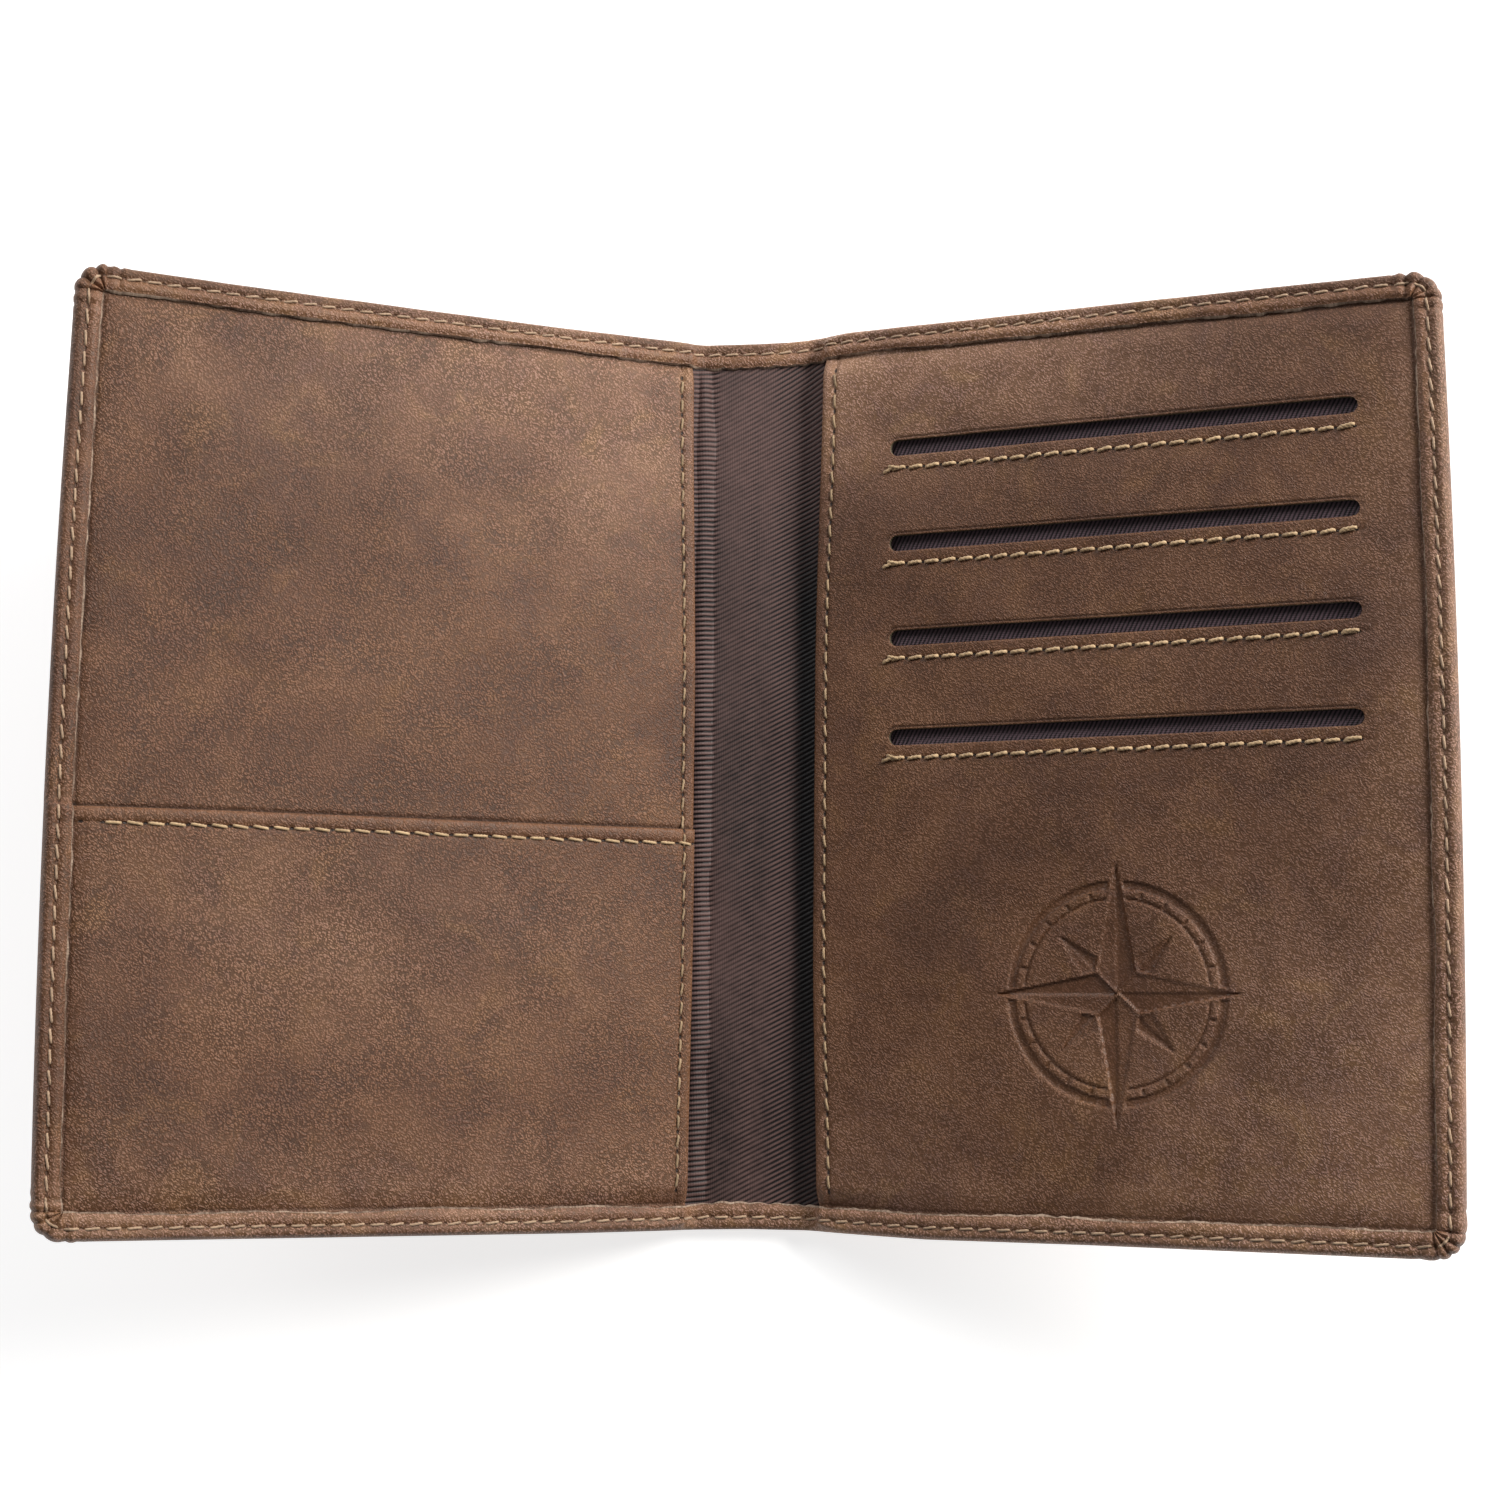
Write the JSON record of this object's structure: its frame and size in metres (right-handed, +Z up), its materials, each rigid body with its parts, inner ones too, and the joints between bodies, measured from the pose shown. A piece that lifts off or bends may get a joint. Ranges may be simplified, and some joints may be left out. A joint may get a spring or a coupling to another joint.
{
  "type": "passport holder wallet",
  "caption": "Bifold passport cover in stitched leather: passport sleeve with a lower pocket on one side, card panel with slots on the other, lined flat spine between.",
  "frame": {"origin": "centre of the spine's underside, on the table", "axes": "+X towards the back cover's fore-edge, +Y towards the top edge along the spine, +Z up out of the open wallet"},
  "size_m": [0.2024, 0.14, 0.043],
  "materials": {
    "cover_leather": "mottled pull-up leather, brown, satin",
    "panel_leather": "mottled pull-up leather, brown, satin",
    "lining_twill": "dark brown twill weave, matt",
    "stiffener_board": "grey board, matt",
    "hem_thread": "beige twisted thread",
    "slot_thread": "golden tan twisted thread"
  },
  "bodies": {
    "spine": {"spine_leather": "cover_leather", "spine_lining": "lining_twill", "spine_hem_thread_top": "hem_thread", "spine_hem_thread_bottom": "hem_thread"},
    "front_cover": {"front_cover_leather": "cover_leather", "front_stiffener_board": "stiffener_board", "front_lining": "lining_twill", "passport_sleeve_panel": "panel_leather", "lower_pocket_panel": "panel_leather", "front_hem_thread": "hem_thread", "sleeve_edge_thread": "hem_thread", "lower_pocket_thread": "hem_thread"},
    "back_cover": {"back_cover_leather": "cover_leather", "back_stiffener_board": "stiffener_board", "back_lining": "lining_twill", "card_panel": "panel_leather", "card_pocket_lining_1": "lining_twill", "card_pocket_lining_2": "lining_twill", "card_pocket_lining_3": "lining_twill", "card_pocket_lining_4": "lining_twill", "card_slot_thread_1": "slot_thread", "card_slot_thread_2": "slot_thread", "card_slot_thread_3": "slot_thread", "card_slot_thread_4": "slot_thread", "card_panel_edge_thread": "hem_thread", "back_hem_thread": "hem_thread"}
  },
  "joints": [
    {"name": "front_cover_fold", "type": "hinge", "parent": "spine", "child": "front_cover", "pos_m": [-0.0093, 0, 0.001], "axis": [0, 1, 0], "range_deg": [-22.3, 69.7]},
    {"name": "back_cover_fold", "type": "hinge", "parent": "spine", "child": "back_cover", "pos_m": [0.0093, 0, 0.001], "axis": [0, -1, 0], "range_deg": [-22.3, 69.7]}
  ]
}
